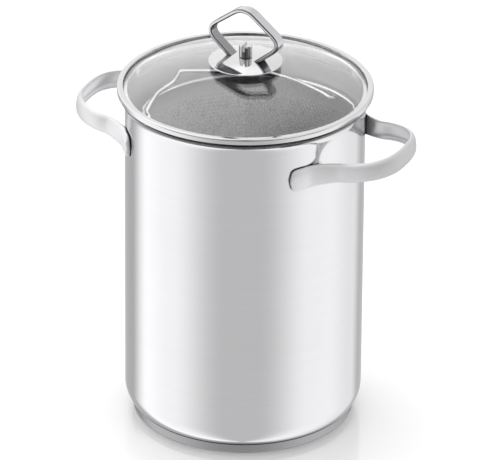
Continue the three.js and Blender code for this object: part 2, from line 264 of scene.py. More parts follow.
def steel(
    name, tone, roughness, lie="round", fine=900.0, spread=0.05, bump=0.02, crevice=0.0,
    metallic=1.0, grip_end_shade=None,
):
    """Stainless steel with polishing grain and faint clouding, and with painted shade in its crevices if
    crevice is set.
    """
    material = bpy.data.materials.new(name)
    material.use_nodes = True
    n = Nodes(material.node_tree)
    grain = n.add("TexNoise", Vector=grain_vector(n, lie, fine), Scale=1.0, Detail=4.0, Roughness=0.6)
    patches = n.add("TexNoise", Vector=n.add("TexCoord").outputs["Object"], Scale=18.0, Detail=3.0)
    grain_out = grain.outputs["Fac"]
    patch_out = patches.outputs["Fac"]
    rough = n.math("MULTIPLY_ADD", grain_out, spread, roughness - spread / 2)
    rough = n.math("MULTIPLY_ADD", patch_out, CLOUD, n.math("SUBTRACT", rough, CLOUD / 2))
    shade = n.math("MULTIPLY_ADD", grain_out, 0.05, 0.95)
    shade = n.math("MULTIPLY_ADD", patch_out, 0.04, n.math("SUBTRACT", shade, 0.02))
    colour = n.add("MixRGB", Fac=1.0, Color2=(*tone, 1))
    colour.blend_type = "MULTIPLY"
    if grip_end_shade:  # painted shade: a darker tone towards the outer end of the grip
        reach = n.math("DIVIDE", n.math("ABSOLUTE", object_point(n)[0]), HANDLE_HIGH.x)
        shade = n.math("MULTIPLY", shade, n.ramp(reach, grip_end_shade))
    # painted shade: the tone darkens where ambient occlusion finds the spot closed in
    if crevice:
        close = n.add("AmbientOcclusion", Distance=crevice)
        shade = n.math("MULTIPLY", shade, n.ramp(close.outputs["AO"], CREVICE_SHADE))
    gray = n.add("CombineColor", Red=shade, Green=shade, Blue=shade)
    n.set(colour, "Color1", gray.outputs[0])
    relief = n.add("Bump", Strength=bump, Distance=0.0002, Height=grain_out)
    shader = n.add("BsdfPrincipled", Metallic=metallic, Roughness=rough, Normal=relief.outputs[0])
    n.set(shader, "Base Color", colour.outputs[0])
    n.set(n.add("OutputMaterial"), "Surface", shader.outputs[0])
    return material


def glass(name):
    """Clear tempered glass with faint wipe marks."""
    material = bpy.data.materials.new(name)
    material.use_nodes = True
    n = Nodes(material.node_tree)
    marks = n.add("TexNoise", Vector=n.add("TexCoord").outputs["Object"], Scale=30.0, Detail=5.0)
    rough = n.math("MULTIPLY_ADD", marks.outputs["Fac"], 0.012, 0.0)
    shader = n.add("BsdfPrincipled", Roughness=rough, IOR=1.75)
    n.set(shader, "Base Color", (0.985, 0.985, 0.99, 1))
    n.set(shader, "Transmission Weight", 1.0)
    n.set(n.add("OutputMaterial"), "Surface", shader.outputs[0])
    return material


def silicone(name):
    material = bpy.data.materials.new(name)
    material.use_nodes = True
    n = Nodes(material.node_tree)
    mottle = n.add("TexNoise", Vector=n.add("TexCoord").outputs["Object"], Scale=900.0, Detail=4.0)
    mottle_out = mottle.outputs["Fac"]
    colour = n.add("MixRGB", Fac=mottle_out, Color1=(0.72, 0.72, 0.7, 1), Color2=(0.82, 0.82, 0.8, 1))
    relief = n.add("Bump", Strength=0.1, Distance=0.0001, Height=mottle_out)
    shader = n.add("BsdfPrincipled", Normal=relief.outputs[0])
    n.set(shader, "Base Color", colour.outputs[0])
    n.set(shader, "Roughness", n.math("MULTIPLY_ADD", mottle_out, 0.1, 0.5))
    n.set(n.add("OutputMaterial"), "Surface", shader.outputs[0])
    return material


# Geometry


def link(name, verts, faces, crease=CREASE):
    """A smooth-shaded mesh object with crisp edges where the shape turns sharply."""
    mesh = bpy.data.meshes.new(name)
    mesh.from_pydata(verts, [], faces)
    mesh.validate()
    bm = bmesh.new()
    bm.from_mesh(mesh)
    bmesh.ops.recalc_face_normals(bm, faces=bm.faces)
    bm.to_mesh(mesh)
    bm.free()
    mesh.shade_smooth()
    mesh.set_sharp_from_angle(angle=crease)
    made = bpy.data.objects.new(name, mesh)
    bpy.context.scene.collection.objects.link(made)
    return made


def rounded(corners, closed, step=math.radians(12)):
    """Points of an outline whose corners (x, y, radius) are turned with arcs."""
    points = []
    count = len(corners)
    for index, (x, y, radius) in enumerate(corners):
        here = Vector((x, y))
        ends = not closed and index in (0, count - 1)
        if ends or radius <= 0:
            points.append(here)
            continue
        before = Vector(corners[index - 1][:2]) - here
        after = Vector(corners[(index + 1) % count][:2]) - here
        turn = math.pi - before.angle(after)
        reach = min(radius * math.tan(turn / 2), 0.48 * before.length, 0.48 * after.length)
        radius = reach / math.tan(turn / 2)
        start, stop = here + before.normalized() * reach, here + after.normalized() * reach
        centre = here + (before.normalized() + after.normalized()).normalized() * (
            radius / math.cos(turn / 2)
        )
        steps = max(2, math.ceil(turn / step))
        a, b = start - centre, stop - centre
        sweep = b.angle_signed(a)
        for k in range(steps + 1):
            points.append(centre + Matrix.Rotation(sweep * k / steps, 2) @ a)
    return points


def firm(points, closed, lead=0.0004):
    """Adds a point close to each end of a long straight stretch, so that it shades flat."""
    made = []
    count = len(points)
    for index, point in enumerate(points):
        made.append(point)
        if index == count - 1 and not closed:
            break
        after = points[(index + 1) % count]
        along = after - point
        if along.length > 4 * lead:
            made.append(point + along.normalized() * lead)
            made.append(after - along.normalized() * lead)
    return made


def lathe(outline, closed, centre=(0.0, 0.0)):
    """Vertices and faces of an outline (radius, height) turned about an upright axis."""
    verts, faces, rings = [], [], []
    for point in outline:
        r, z = point
        if r < 1e-7:
            rings.append([len(verts)])
            verts.append((centre[0], centre[1], z))
            continue
        start = len(verts)
        rings.append(list(range(start, start + ROUND)))
        for k in range(ROUND):
            a = 2 * math.pi * k / ROUND
            verts.append((centre[0] + r * math.cos(a), centre[1] + r * math.sin(a), z))
    pairs = list(zip(rings, rings[1:]))
    if closed:
        pairs.append((rings[-1], rings[0]))
    for low, high in pairs:
        for k in range(ROUND):
            k2 = (k + 1) % ROUND
            if len(low) == 1 and len(high) == 1:
                break
            if len(low) == 1:
                faces.append((low[0], high[k2], high[k]))
            elif len(high) == 1:
                faces.append((low[k], low[k2], high[0]))
            else:
                faces.append((low[k], low[k2], high[k2], high[k]))
    return verts, faces


def turned(name, corners, closed=True, centre=(0.0, 0.0)):
    return link(name, *lathe(firm(rounded(corners, closed), closed), closed, centre))


def spline(points, steps):
    """Centripetal Catmull-Rom curve through the points."""
    points = [Vector(p) for p in points]
    full = [2 * points[0] - points[1], *points, 2 * points[-1] - points[-2]]
    made = []
    for p0, p1, p2, p3 in zip(full, full[1:], full[2:], full[3:]):
        t0 = 0.0
        t1 = t0 + (p1 - p0).length ** 0.5
        t2 = t1 + (p2 - p1).length ** 0.5
        t3 = t2 + (p3 - p2).length ** 0.5
        for k in range(steps):
            t = t1 + (t2 - t1) * k / steps
            a1 = p0 * ((t1 - t) / (t1 - t0)) + p1 * ((t - t0) / (t1 - t0))
            a2 = p1 * ((t2 - t) / (t2 - t1)) + p2 * ((t - t1) / (t2 - t1))
            a3 = p2 * ((t3 - t) / (t3 - t2)) + p3 * ((t - t2) / (t3 - t2))
            b1 = a1 * ((t2 - t) / (t2 - t0)) + a2 * ((t - t0) / (t2 - t0))
            b2 = a2 * ((t3 - t) / (t3 - t1)) + a3 * ((t - t1) / (t3 - t1))
            made.append(b1 * ((t2 - t) / (t2 - t1)) + b2 * ((t - t1) / (t2 - t1)))
    made.append(points[-1])
    return made


def evenly(points, spacing):
    """The same line with points at an even spacing."""
    lengths = [0.0]
    for a, b in zip(points, points[1:]):
        lengths.append(lengths[-1] + (b - a).length)
    count = max(2, round(lengths[-1] / spacing))
    made, at = [], 0
    for k in range(count + 1):
        want = lengths[-1] * k / count
        while at < len(points) - 2 and lengths[at + 1] < want:
            at += 1
        share = (want - lengths[at]) / max(lengths[at + 1] - lengths[at], 1e-12)
        made.append(points[at].lerp(points[at + 1], min(max(share, 0.0), 1.0)))
    return made


def skin(name, sections):
    """Closes a row of equal rings into one solid, each end with a fan."""
    verts = [tuple(p) for ring in sections for p in ring]
    size = len(sections[0])
    faces = []
    for i in range(len(sections) - 1):
        for k in range(size):
            k2 = (k + 1) % size
            faces.append((i * size + k, i * size + k2, (i + 1) * size + k2, (i + 1) * size + k))
    for ring, base in ((sections[0], 0), (sections[-1], (len(sections) - 1) * size)):
        middle = sum((Vector(p) for p in ring), Vector()) / size
        verts.append(tuple(middle))
        for k in range(size):
            faces.append((base + k, base + (k + 1) % size, len(verts) - 1))
    return link(name, verts, faces)


def cut(piece, cutter):
    """Subtracts cutter from piece for good."""
    change = piece.modifiers.new("cut", "BOOLEAN")
    change.operation = "DIFFERENCE"
    change.solver = "MANIFOLD"
    change.object = cutter
    graph = bpy.context.evaluated_depsgraph_get()
    solid = bpy.data.meshes.new_from_object(piece.evaluated_get(graph))
    piece.modifiers.clear()
    old, piece.data = piece.data, solid
    bpy.data.meshes.remove(old)
    bpy.data.objects.remove(cutter)
    piece.data.shade_smooth()
    piece.data.set_sharp_from_angle(angle=CREASE)


def dress(piece, body, slot, material, *nodes):
    piece.data.materials.clear()
    piece.data.materials.append(material)
    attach(piece, body)
    if nodes:
        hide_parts(*nodes)
    return piece


def add_materials(piece, *materials):
    """More material slots, after the one that dress gives."""
    for material in materials:
        piece.data.materials.append(material)


# Pot

WALL = 0.0008
BIG_CORNER, SMALL_CORNER = 0.017, 0.0024
POT_BOTTOM = POT_LOW.z
FLARE_START, FLARE_RADIUS, FLARE_ANGLE = 0.2277, 0.007, 60
LIP_SHADE = 0.2317  # above this height the flare's outside is painted dark, as painted shade in the gap under the band
NOSE_STEPS, NOSE_DEPTH = 6, WALL * 0.35  # the rolled-off edge of the sheet
FLAT = 0.9  # a normal's part along an axis, past which a face counts as facing that way


def arc(r, z, radius, start, stop, steps):
    """Points of an arc in an outline, in degrees from outwards towards up."""
    angles = [math.radians(start + (stop - start) * k / steps) for k in range(steps + 1)]
    return [Vector((r + radius * math.cos(a), z + radius * math.sin(a))) for a in angles]


def pot_skin(inset):
    big, small = BIG_CORNER - inset, SMALL_CORNER - inset
    big_r = POT_RADIUS - BIG_CORNER
    knee = math.radians(45)
    small_r = big_r + (BIG_CORNER - SMALL_CORNER) * math.sin(knee)
    small_z = POT_BOTTOM + SMALL_CORNER
    big_z = small_z + (BIG_CORNER - SMALL_CORNER) * math.cos(knee)
    return [
        Vector((0, POT_BOTTOM + inset)),
        *arc(small_r, small_z, small, -90, -45, 5),
        *arc(big_r, big_z, big, -45, 0, 10)[1:],
        *arc(POT_RADIUS + FLARE_RADIUS, FLARE_START, FLARE_RADIUS + inset, 180, 180 - FLARE_ANGLE, 12),
    ]


def make_pot():
    outside, inside = pot_skin(0), pot_skin(WALL)
    lip = (outside[-1] + inside[-1]) / 2
    direction = (outside[-1] - inside[-1]).normalized()
    ahead = Vector((direction.y, -direction.x)) * -1
    nose = []
    for k in range(1, NOSE_STEPS):
        a = math.pi * k / NOSE_STEPS
        nose.append(lip + direction * (WALL / 2) * math.cos(a) - ahead * NOSE_DEPTH * math.sin(a))
    outline = firm([*outside, *nose, *reversed(inside)], False, 0.0008)
    pot = link("pot_shell", *lathe(outline, False))
    dress(pot, "pot", "polished_steel", POLISHED, "pot_body")
    add_materials(pot, INSIDE_STEEL, EDGE_HIGHLIGHT, UNDERSIDE_SHADE)
    for face in pot.data.polygons:
        inward = face.normal.x * face.center.x + face.normal.y * face.center.y < 0
        if inward or face.normal.z > FLAT:
            # painted highlight: the inside of the flare and the lip gets the bright edge material
            face.material_index = 2 if face.center.z > FLARE_START else 1
        # painted shade: the flare's outside in the gap under the band gets the near-black underside material
        elif face.center.z > LIP_SHADE and face.normal.z < 0:
            face.material_index = 3


def make_base():
    edge, chamfer, side, floor = 0.0754, 0.0009, 0.0007, 0.0007
    top = CAP_HIGH.z
    cap = turned(
        "base_capsule",
        [
            (0, 0, 0), (edge, 0, chamfer), (edge, top, 0.0002), (edge - side, top, 0.0002),
            (edge - side, floor, 0), (0, floor, 0),
        ],
        False,
    )
    dress(cap, "pot", "satin_steel", BASE_STEEL, "base_cap")


# Side handles

HANDLE = {
    "pivot": 0.0744,
    "height": 0.2071,
    "rise": 6.7,
    "reach": 0.1171,
    "half_width": 0.0369,
    "squareness": 2.65,
    "pad_radius": 0.0820,
    "pad_angles": (44, 38.5, 33.5),
    "strap": 0.0132,
    "pad": 0.0156,
    "crown": 0.0031,
    "back": 0.0008,
    "pad_length": 0.011,
    "ease": 0.026,  # from the pad to the full strap
    "end_round": 0.42,  # share of the pad's height
    "pad_flatter": 0.12,
    "end_crown": 0.7,
}


def handle_line():
    """Control points of half the loop in its own plane, from the pad's end to the grip's middle."""
    h = HANDLE
    half = [
        (h["pad_radius"] * math.cos(math.radians(a)), h["pad_radius"] * math.sin(math.radians(a)))
        for a in h["pad_angles"]
    ]
    for angle in (7, 18, 30, 43, 56, 69, 80):
        power = 2 / h["squareness"]
        along = math.sin(math.radians(angle)) ** power
        across = math.cos(math.radians(angle)) ** power
        half.append((h["pivot"] + (h["reach"] - h["pivot"]) * along, h["half_width"] * across))
    return half


DOME_STEPS, HOLLOW_STEPS = 14, 12  # points from the middle to the edge, on the face and in the back
BOW = 2.3  # 2 would be an ellipse; more is squarer
STRAP_LIP = 0.0009


def strap_section(height, crown, back, hollow):
    """(across, outwards) points of a pressed channel: a domed face, two turned-in lips, a hollow back."""
    points = []
    half = height / 2
    for k in range(-DOME_STEPS, DOME_STEPS + 1):
        u = math.sin(math.pi / 2 * k / DOME_STEPS)
        points.append((half * u, crown * (1 - abs(u) ** BOW) ** (1 / BOW)))
    lip = STRAP_LIP
    points += [(half, -back * 0.6), (half - 0.15 * lip, -back * 0.9), (half - 0.5 * lip, -back)]
    inner = half - lip
    for k in range(HOLLOW_STEPS, -HOLLOW_STEPS - 1, -1):
        u = math.sin(math.pi / 2 * k / HOLLOW_STEPS)
        depth = (crown + back - lip) * (1 - abs(u) ** BOW) ** (1 / BOW) * hollow
        points.append((inner * u, -back + depth))
    points += [(0.5 * lip - half, -back), (0.15 * lip - half, -back * 0.9), (-half, -back * 0.6)]
    return points


def make_handle(name, node, side):
    h = HANDLE
    half = handle_line()
    flat = [(x, -y) for x, y in half] + [(h["reach"], 0.0)] + [(x, y) for x, y in reversed(half)]
    line = evenly(spline([(x - h["pivot"], y, 0) for x, y in flat], 12), 0.0011)
    tilt = Matrix.Rotation(math.radians(-h["rise"]), 3, "Y")
    lengths = [0.0]
    for a, b in zip(line, line[1:]):
        lengths.append(lengths[-1] + (b - a).length)
    total = lengths[-1]
    round_end = h["pad"] * h["end_round"]
    sections = []
    for i, point in enumerate(line):
        ahead = line[min(i + 1, len(line) - 1)] - line[max(i - 1, 0)]
        ahead.normalize()
        s = min(lengths[i], total - lengths[i])
        pad = 1 - min(max((s - h["pad_length"]) / h["ease"], 0.0), 1.0)
        pad = pad * pad * (3 - 2 * pad)
        height = h["strap"] + (h["pad"] - h["strap"]) * pad
        crown = h["crown"] * (1 - h["pad_flatter"] * pad)
        if s < round_end:
            shrink = max(1 - (1 - s / round_end) ** 3, 0.004) ** (1 / 3)
            height *= shrink
            crown *= h["end_crown"] + (1 - h["end_crown"]) * shrink
        outward = Vector((ahead.y, -ahead.x, 0))
        place = tilt @ point + Vector((h["pivot"], 0, h["height"]))
        radial = Vector((place.x, place.y, 0)).normalized()
        across = (tilt @ Vector((0, 0, 1))).lerp(Vector((0, 0, 1)), pad).normalized()
        out = (tilt @ outward).lerp(radial, pad)
        out = (out - across * out.dot(across)).normalized()
        wall = POT_RADIUS + 0.00005
        ring = []
        for a, o in strap_section(height, crown, h["back"], 1 - pad):
            p = place + across * a + out * o
            reach = math.hypot(p.x, p.y)
            if pad > 0 and reach < wall:
                p.x, p.y = p.x * wall / reach, p.y * wall / reach
            ring.append(Vector((p.x * side, p.y * side, p.z)))
        sections.append(ring)
    strap = dress(skin(name, sections), "pot", "satin_steel", SATIN_STRAP, node)
    add_materials(strap, STRAP_INSIDE)
    size = len(sections[0])
    hollow_start = 2 * DOME_STEPS + 3
    for index, face in enumerate(strap.data.polygons):
        if index < (len(sections) - 1) * size and index % size >= hollow_start:
            face.material_index = 1


# Basket

SHEET = 0.0007
CURL, CURL_OVERHANG, CURL_SHEET = 0.0017, 0.0027, 0.0005
BASKET_RADIUS = WALL_HIGH.x - BASKET_AXIS[0] - CURL_OVERHANG
BASKET_INSIDE = BASKET_RADIUS - SHEET
BASKET_BOTTOM, CURL_TOP = WALL_LOW.z, WALL_HIGH.z
HOLE_RADIUS, HOLE_SIDES = 0.00074, 8  # a cell's rim has as many points as its hole
PITCH = 0.003
HOLES_LOW, HOLES_HIGH = 0.0265, 0.2018
HOLE_CREASE = math.radians(30)


def punched_sheet(name, low, high, below, above):
    """A round sheet with staggered holes from low to high, and rims that close it below and above."""
    cells = round(2 * math.pi * BASKET_RADIUS / PITCH)
    rows = 2 * round((high - low) / (PITCH * math.sqrt(3) / 2) / 2)
    tall = (high - low) / rows
    columns = 2 * cells
    turn = 2 * math.pi / columns
    cx, cy = BASKET_AXIS
    verts, faces = [], []

    def ring_of(radius, z):
        start = len(verts)
        for c in range(columns):
            verts.append((cx + radius * math.cos(c * turn), cy + radius * math.sin(c * turn), z))
        return start

    def band(lower, upper):
        for c in range(columns):
            c2 = (c + 1) % columns
            faces.append((lower + c, lower + c2, upper + c2, upper + c))

    layers = []
    for radius in (BASKET_RADIUS, BASKET_INSIDE):
        lines = [ring_of(radius, low + tall * j) for j in range(rows + 1)]
        holes = []
        for j in range(rows):
            z = low + tall * (j + 0.5)
            mids, first = len(verts), j % 2
            for i in range(cells):
                a = (2 * i + first) * turn
                verts.append((cx + radius * math.cos(a), cy + radius * math.sin(a), z))
            for i in range(cells):
                start, c = len(verts), 2 * i + first
                for k in range(HOLE_SIDES):
                    bearing = 2 * math.pi * k / HOLE_SIDES
                    a = (c + 1) * turn + HOLE_RADIUS * math.cos(bearing) / radius
                    up = HOLE_RADIUS * math.sin(bearing)
                    verts.append((cx + radius * math.cos(a), cy + radius * math.sin(a), z + up))
                c0, c1, c2 = c % columns, (c + 1) % columns, (c + 2) % columns
                under, over = lines[j], lines[j + 1]
                rim = (
                    mids + (i + 1) % cells, over + c2, over + c1, over + c0,
                    mids + i, under + c0, under + c1, under + c2,
                )
                for k in range(HOLE_SIDES):
                    k2 = (k + 1) % HOLE_SIDES
                    faces.append((rim[k], rim[k2], start + k2, start + k))
                holes.append(start)
        layers.append((lines, holes))
    for outer, inner in zip(layers[0][1], layers[1][1]):
        for k in range(HOLE_SIDES):
            k2 = (k + 1) % HOLE_SIDES
            faces.append((outer + k, outer + k2, inner + k2, inner + k))
    for index, rim in ((0, below), (-1, above)):
        rings = [layers[0][0][index], *(ring_of(r, z) for r, z in rim), layers[1][0][index]]
        for a, b in zip(rings, rings[1:]):
            band(a, b)
    return link(name, verts, faces, HOLE_CREASE)


def make_basket_wall():
    """Three punched sheets, one on another; the lower has the cut edge and the upper the curl."""
    inside = BASKET_INSIDE
    curl_r, curl_z = inside + CURL, CURL_TOP - CURL
    plain, edge = 0.001, 0.0002
    over = [(BASKET_RADIUS, HOLES_HIGH + plain), (BASKET_RADIUS, curl_z - 0.0012)]
    over += [tuple(p) for p in arc(curl_r, curl_z, CURL - CURL_SHEET, 180, -100, 18)]
    over += [tuple(p) for p in arc(curl_r, curl_z, CURL, -100, 180, 26)]
    over += [(inside, HOLES_HIGH + plain)]
    under = [
        (BASKET_RADIUS, HOLES_LOW - plain), (BASKET_RADIUS, BASKET_BOTTOM + edge),
        (BASKET_RADIUS - edge, BASKET_BOTTOM), (inside + edge, BASKET_BOTTOM),
        (inside, BASKET_BOTTOM + edge), (inside, HOLES_LOW - plain),
    ]
    third = (HOLES_HIGH - HOLES_LOW) / 3
    lower = punched_sheet("basket_sheet_lower", HOLES_LOW, HOLES_LOW + third, under, [])
    middle = punched_sheet("basket_sheet_middle", HOLES_LOW + third, HOLES_HIGH - third, [], [])
    upper = punched_sheet("basket_sheet_upper", HOLES_HIGH - third, HOLES_HIGH, [], over)
    cut(upper, hook_drills())
    dress(upper, "basket", "satin_steel", BASKET_STEEL, "basket_wall")
    dress(middle, "basket", "satin_steel", BASKET_STEEL)
    dress(lower, "basket", "satin_steel", BASKET_STEEL)
    for sheet in (upper, middle, lower):
        add_materials(sheet, BASKET_OUTSIDE, WIRE_STEEL)
        for face in sheet.data.polygons:
            outward = (face.center.xy - Vector(BASKET_AXIS)).normalized()
            if face.center.z > curl_z - 0.001:
                face.material_index = 2
            elif face.normal.xy.dot(outward) > FLAT:
                face.material_index = 1


def make_basket_floor():
    rim, bend, flange = BASKET_INSIDE - GAP, 0.003, 0.007
    top = BASKET_BOTTOM + flange
    floor = turned(
        "basket_base",
        [
            (0, BASKET_BOTTOM, 0), (rim, BASKET_BOTTOM, bend), (rim, top, 0.0002),
            (rim - SHEET, top, 0.0002), (rim - SHEET, BASKET_BOTTOM + SHEET, bend - SHEET),
            (0, BASKET_BOTTOM + SHEET, 0),
        ],
        False,
        BASKET_AXIS,
    )
    cut(floor, floor_drills())
    dress(floor, "basket", "satin_steel", BASKET_STEEL, "basket_floor")


def make_basket_foot():
    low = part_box("basket_foot_ring")[0].z
    high = BASKET_BOTTOM - GAP
    outer, sheet, flange = 0.060, 0.0008, 0.006
    foot = turned(
        "basket_foot",
        [
            (outer - sheet, low, 0.0003), (outer, low, 0.0003),
            (outer, high - sheet, 0.001), (outer + flange, high - sheet, 0.0003),
            (outer + flange, high, 0.0003), (outer - sheet, high, 0.0015),
        ],
        True,
        BASKET_AXIS,
    )
    dress(foot, "basket", "satin_steel", BASKET_STEEL, "basket_foot_ring")


def pin_faces(start, sides):
    """The two ends and the sides of a pin whose two rings of vertices begin at start."""
    faces = [
        tuple(start + k for k in reversed(range(sides))),
        tuple(start + sides + k for k in range(sides)),
    ]
    for k in range(sides):
        k2 = (k + 1) % sides
        faces.append((start + k, start + k2, start + sides + k2, start + sides + k))
    return faces


def hook_drills():
    """Four lying pins where the bails hook through the wall."""
    sides, radius = 24, 0.0021
    ends = (BAIL["elbow"] + 0.0012, BASKET_RADIUS + 0.004)
    verts, faces = [], []
    for compass in BAIL_COMPASS:
        turn = Matrix.Rotation(math.radians(compass - 90), 3, "Z")
        for side in (1, -1):
            start = len(verts)
            for reach in ends:
                for k in range(sides):
                    a = 2 * math.pi * k / sides
                    pin = Vector((side * reach, radius * math.cos(a), radius * math.sin(a)))
                    verts.append(tuple(turn @ (pin + HOOK_SHIFT) + HOOK_MOVE))
            faces += pin_faces(start, sides)
    return link("hook_drills", verts, faces)


def floor_drills():
    """One object of many upright pins on a triangular grid, inside the foot ring."""
    pitch, radius, reach, sides = 0.0075, 0.0021, 0.054, 20
    verts, faces = [], []
    rows = int(reach / (pitch * math.sqrt(3) / 2)) + 1
    for j in range(-rows, rows + 1):
        for i in range(-rows - 2, rows + 3):
            x = (i + 0.5 * (j % 2)) * pitch
            y = j * pitch * math.sqrt(3) / 2
            if math.hypot(x, y) > reach:
                continue
            start = len(verts)
            for z in (BASKET_BOTTOM - 0.002, BASKET_BOTTOM + 0.003):
                for k in range(sides):
                    a = 2 * math.pi * k / sides
                    verts.append((
                        BASKET_AXIS[0] + x + radius * math.cos(a),
                        BASKET_AXIS[1] + y + radius * math.sin(a),
                        z,
                    ))
            faces += pin_faces(start, sides)
    return link("drills", verts, faces)


# Bails

BAIL = {
    "pivot_radius": 0.0715,
    "spread": 75,
    "height": 0.209,
    "wire": 0.0015,
    "tip": 0.0732,
    "elbow": 0.0685,
    "leg": 0.0708,
    "rest": 0.0734,
    "rest_rise": 0.0069,
    "high": 0.0138,
    "low": 0.0078,
    "grip": 15,
}
PIVOT_OFFSET = BAIL["pivot_radius"] * math.cos(math.radians(BAIL["spread"]))
HOOK_SHIFT = Vector((0, PIVOT_OFFSET, 0))
HOOK_MOVE = Vector((BASKET_AXIS[0], BASKET_AXIS[1], BAIL["height"]))
BAIL_COMPASS = (139, 319)  # directions of the back and the front grip
WIRE_SIDES, WIRE_CHAMFER, WIRE_END = 16, 0.0003, 0.72  # the end is a share of the wire's radius


def on_rim(angle, radius, rise):
    a = math.radians(angle)
    return Vector((radius * math.sin(a), radius * math.cos(a) - PIVOT_OFFSET, rise))


def bail_leg(side):
    b = BAIL
    return [
        Vector((side * b["tip"], 0, 0)),
        Vector((side * (b["tip"] - 0.0028), 0, 0)),
        Vector((side * b["elbow"], 0.0008, 0.0001)),
        on_rim(side * 69, b["leg"], 0.0011),
        on_rim(side * 57, b["leg"], 0.0030),
        on_rim(side * 49, b["leg"], 0.0047),
        on_rim(side * 42, b["leg"] + 0.0004, 0.0059),
        on_rim(side * 35, b["rest"] - 0.0009, b["rest_rise"] - 0.0002),
        on_rim(side * 27, b["rest"], b["rest_rise"] + 0.0001),
    ]


def tube(name, line, radius):
    """A round wire with softened ends along a line."""
    sections = []
    up = Vector((0, 0, 1))
    last = len(line) - 1
    for i, point in enumerate(line):
        ahead = (line[min(i + 1, last)] - line[max(i - 1, 0)]).normalized()
        across = ahead.cross(up).normalized()
        up = across.cross(ahead).normalized()
        ring = []
        for k in range(WIRE_SIDES):
            a = 2 * math.pi * k / WIRE_SIDES
            ring.append(point + (across * math.cos(a) + up * math.sin(a)) * radius)
        if i in (0, last):  # a chamfered end
            inner = [point + (p - point) * WIRE_END for p in ring]
            back = ahead * (WIRE_CHAMFER if i == 0 else -WIRE_CHAMFER)
            ring = [p + back for p in ring]
            sections += [inner, ring] if i == 0 else [ring, inner]
        else:
            sections.append(ring)
    return skin(name, sections)


def make_bail(name, node, body, compass):
    b = BAIL
    grip, rest = b["grip"], b["rest"]
    points = [
        *bail_leg(1),
        on_rim(grip + 6, rest - 0.0006, b["rest_rise"] + 0.0002),
        on_rim(grip, rest - 0.0014, b["low"]),
        on_rim(0, rest - 0.0027, (b["high"] + b["low"]) / 2),
        on_rim(1 - grip, rest - 0.0002, b["high"] - 0.0004),
        on_rim(-grip - 0.6, rest + 0.0003, b["high"] - 0.0003),
        on_rim(-grip - 3, rest, b["high"] - 0.0034),
        on_rim(-grip - 6, rest, b["rest_rise"] + 0.0014),
        *reversed(bail_leg(-1)),
    ]
    turn = Matrix.Rotation(math.radians(compass - 90), 3, "Z")
    line = [turn @ (p + HOOK_SHIFT) + HOOK_MOVE for p in evenly(spline(points, 12), 0.0012)]
    dress(tube(name, line, b["wire"]), body, "polished_steel", WIRE_STEEL, node)


# Lid


def make_band():
    low = BAND_LOW.z
    seat, outer, top, inner_lip = low + 0.0044, 0.0863, 0.2406, 0.0822
    sheet, skirt = 0.0008, 0.0792
    corners = [
        (skirt - sheet, low, 0.0003), (skirt, low, 0.0003), (skirt, seat, 0.0006),
        (outer - 0.0036, seat, 0.0015), (outer, seat + 0.0016, 0.0009), (outer, top, 0.0013),
        (inner_lip, top + 0.0001, 0.0003), (inner_lip, top - sheet + 0.0001, 0.0002),
        (outer - sheet, top - sheet, 0.0005), (outer - sheet, seat + 0.0021, 0.0004),
        (outer - 0.0038, seat + sheet, 0.0012), (skirt - sheet, seat + sheet, 0.0012),
    ]
    band = dress(turned("lid_band", corners), "lid", "polished_steel", BAND_STEEL, "lid_rim_band")
    add_materials(band, UNDERSIDE_SHADE, EDGE_HIGHLIGHT)
    shade_inner, shade_top, skirt_edge = outer - 0.005, seat + 0.0026, low + 0.0012
    for face in band.data.polygons:
        spot = face.center
        # painted shade: the band's underside near its outer edge gets the near-black underside material
        if spot.xy.length > shade_inner and spot.z < shade_top and face.normal.z < -0.12:
            face.material_index = 1
        # painted highlight: the skirt's lower edge gets the bright edge material
        elif spot.z < skirt_edge:
            face.material_index = 2


def make_pane():
    edge, dome, bore, thick = 0.0852, 0.0816, 0.0045, 0.0034
    edge_low, edge_high, apex = 0.2360, 0.2394, 0.2565
    rise = apex - edge_high
    sphere = (dome**2 + rise**2) / (2 * rise)
    steps = 22

    def height(r):
        return apex - sphere + math.sqrt(sphere**2 - r**2)

    radii = [bore + (dome - bore) * k / steps for k in range(steps + 1)]
    outline = [Vector((r, height(r) - thick)) for r in radii]
    outline += [Vector(p) for p in (
        (dome + 0.001, edge_low), (edge - 0.0022, edge_low), (edge, edge_low + 0.0011),
        (edge, edge_high - 0.0004), (edge - 0.0004, edge_high), (dome + 0.001, edge_high),
    )]
    outline += [Vector((r, height(r))) for r in reversed(radii)]
    pane = link("lid_pane", *lathe(outline, True))
    dress(pane, "lid", "glass", GLASS, "lid_glass")


# Knob

KNOB_BORE = 0.0028
DISC_RADIUS = 0.025
DISC_CROWN, DISC_SHEET = 0.0029, 0.0009
DISC_EDGE = DISC_LOW.z


def disc_top(r):
    return DISC_EDGE + DISC_SHEET + DISC_CROWN * (1 - (r / DISC_RADIUS) ** 2)


def make_knob_disc():
    bore, rim, steps = KNOB_BORE, DISC_RADIUS - 0.0005, 14
    radii = [bore + (rim - bore) * k / steps for k in range(steps + 1)]
    outline = [Vector((r, disc_top(r) - DISC_SHEET)) for r in radii]
    nose = disc_top(rim) - DISC_SHEET / 2
    outline += arc(rim, nose, DISC_SHEET / 2, -80, 80, 8)
    outline += [Vector((r, disc_top(r))) for r in reversed(radii)]
    plate = link("knob_plate", *lathe(outline, True))
    dress(plate, "lid", "polished_steel", DISC_STEEL, "knob_disc")


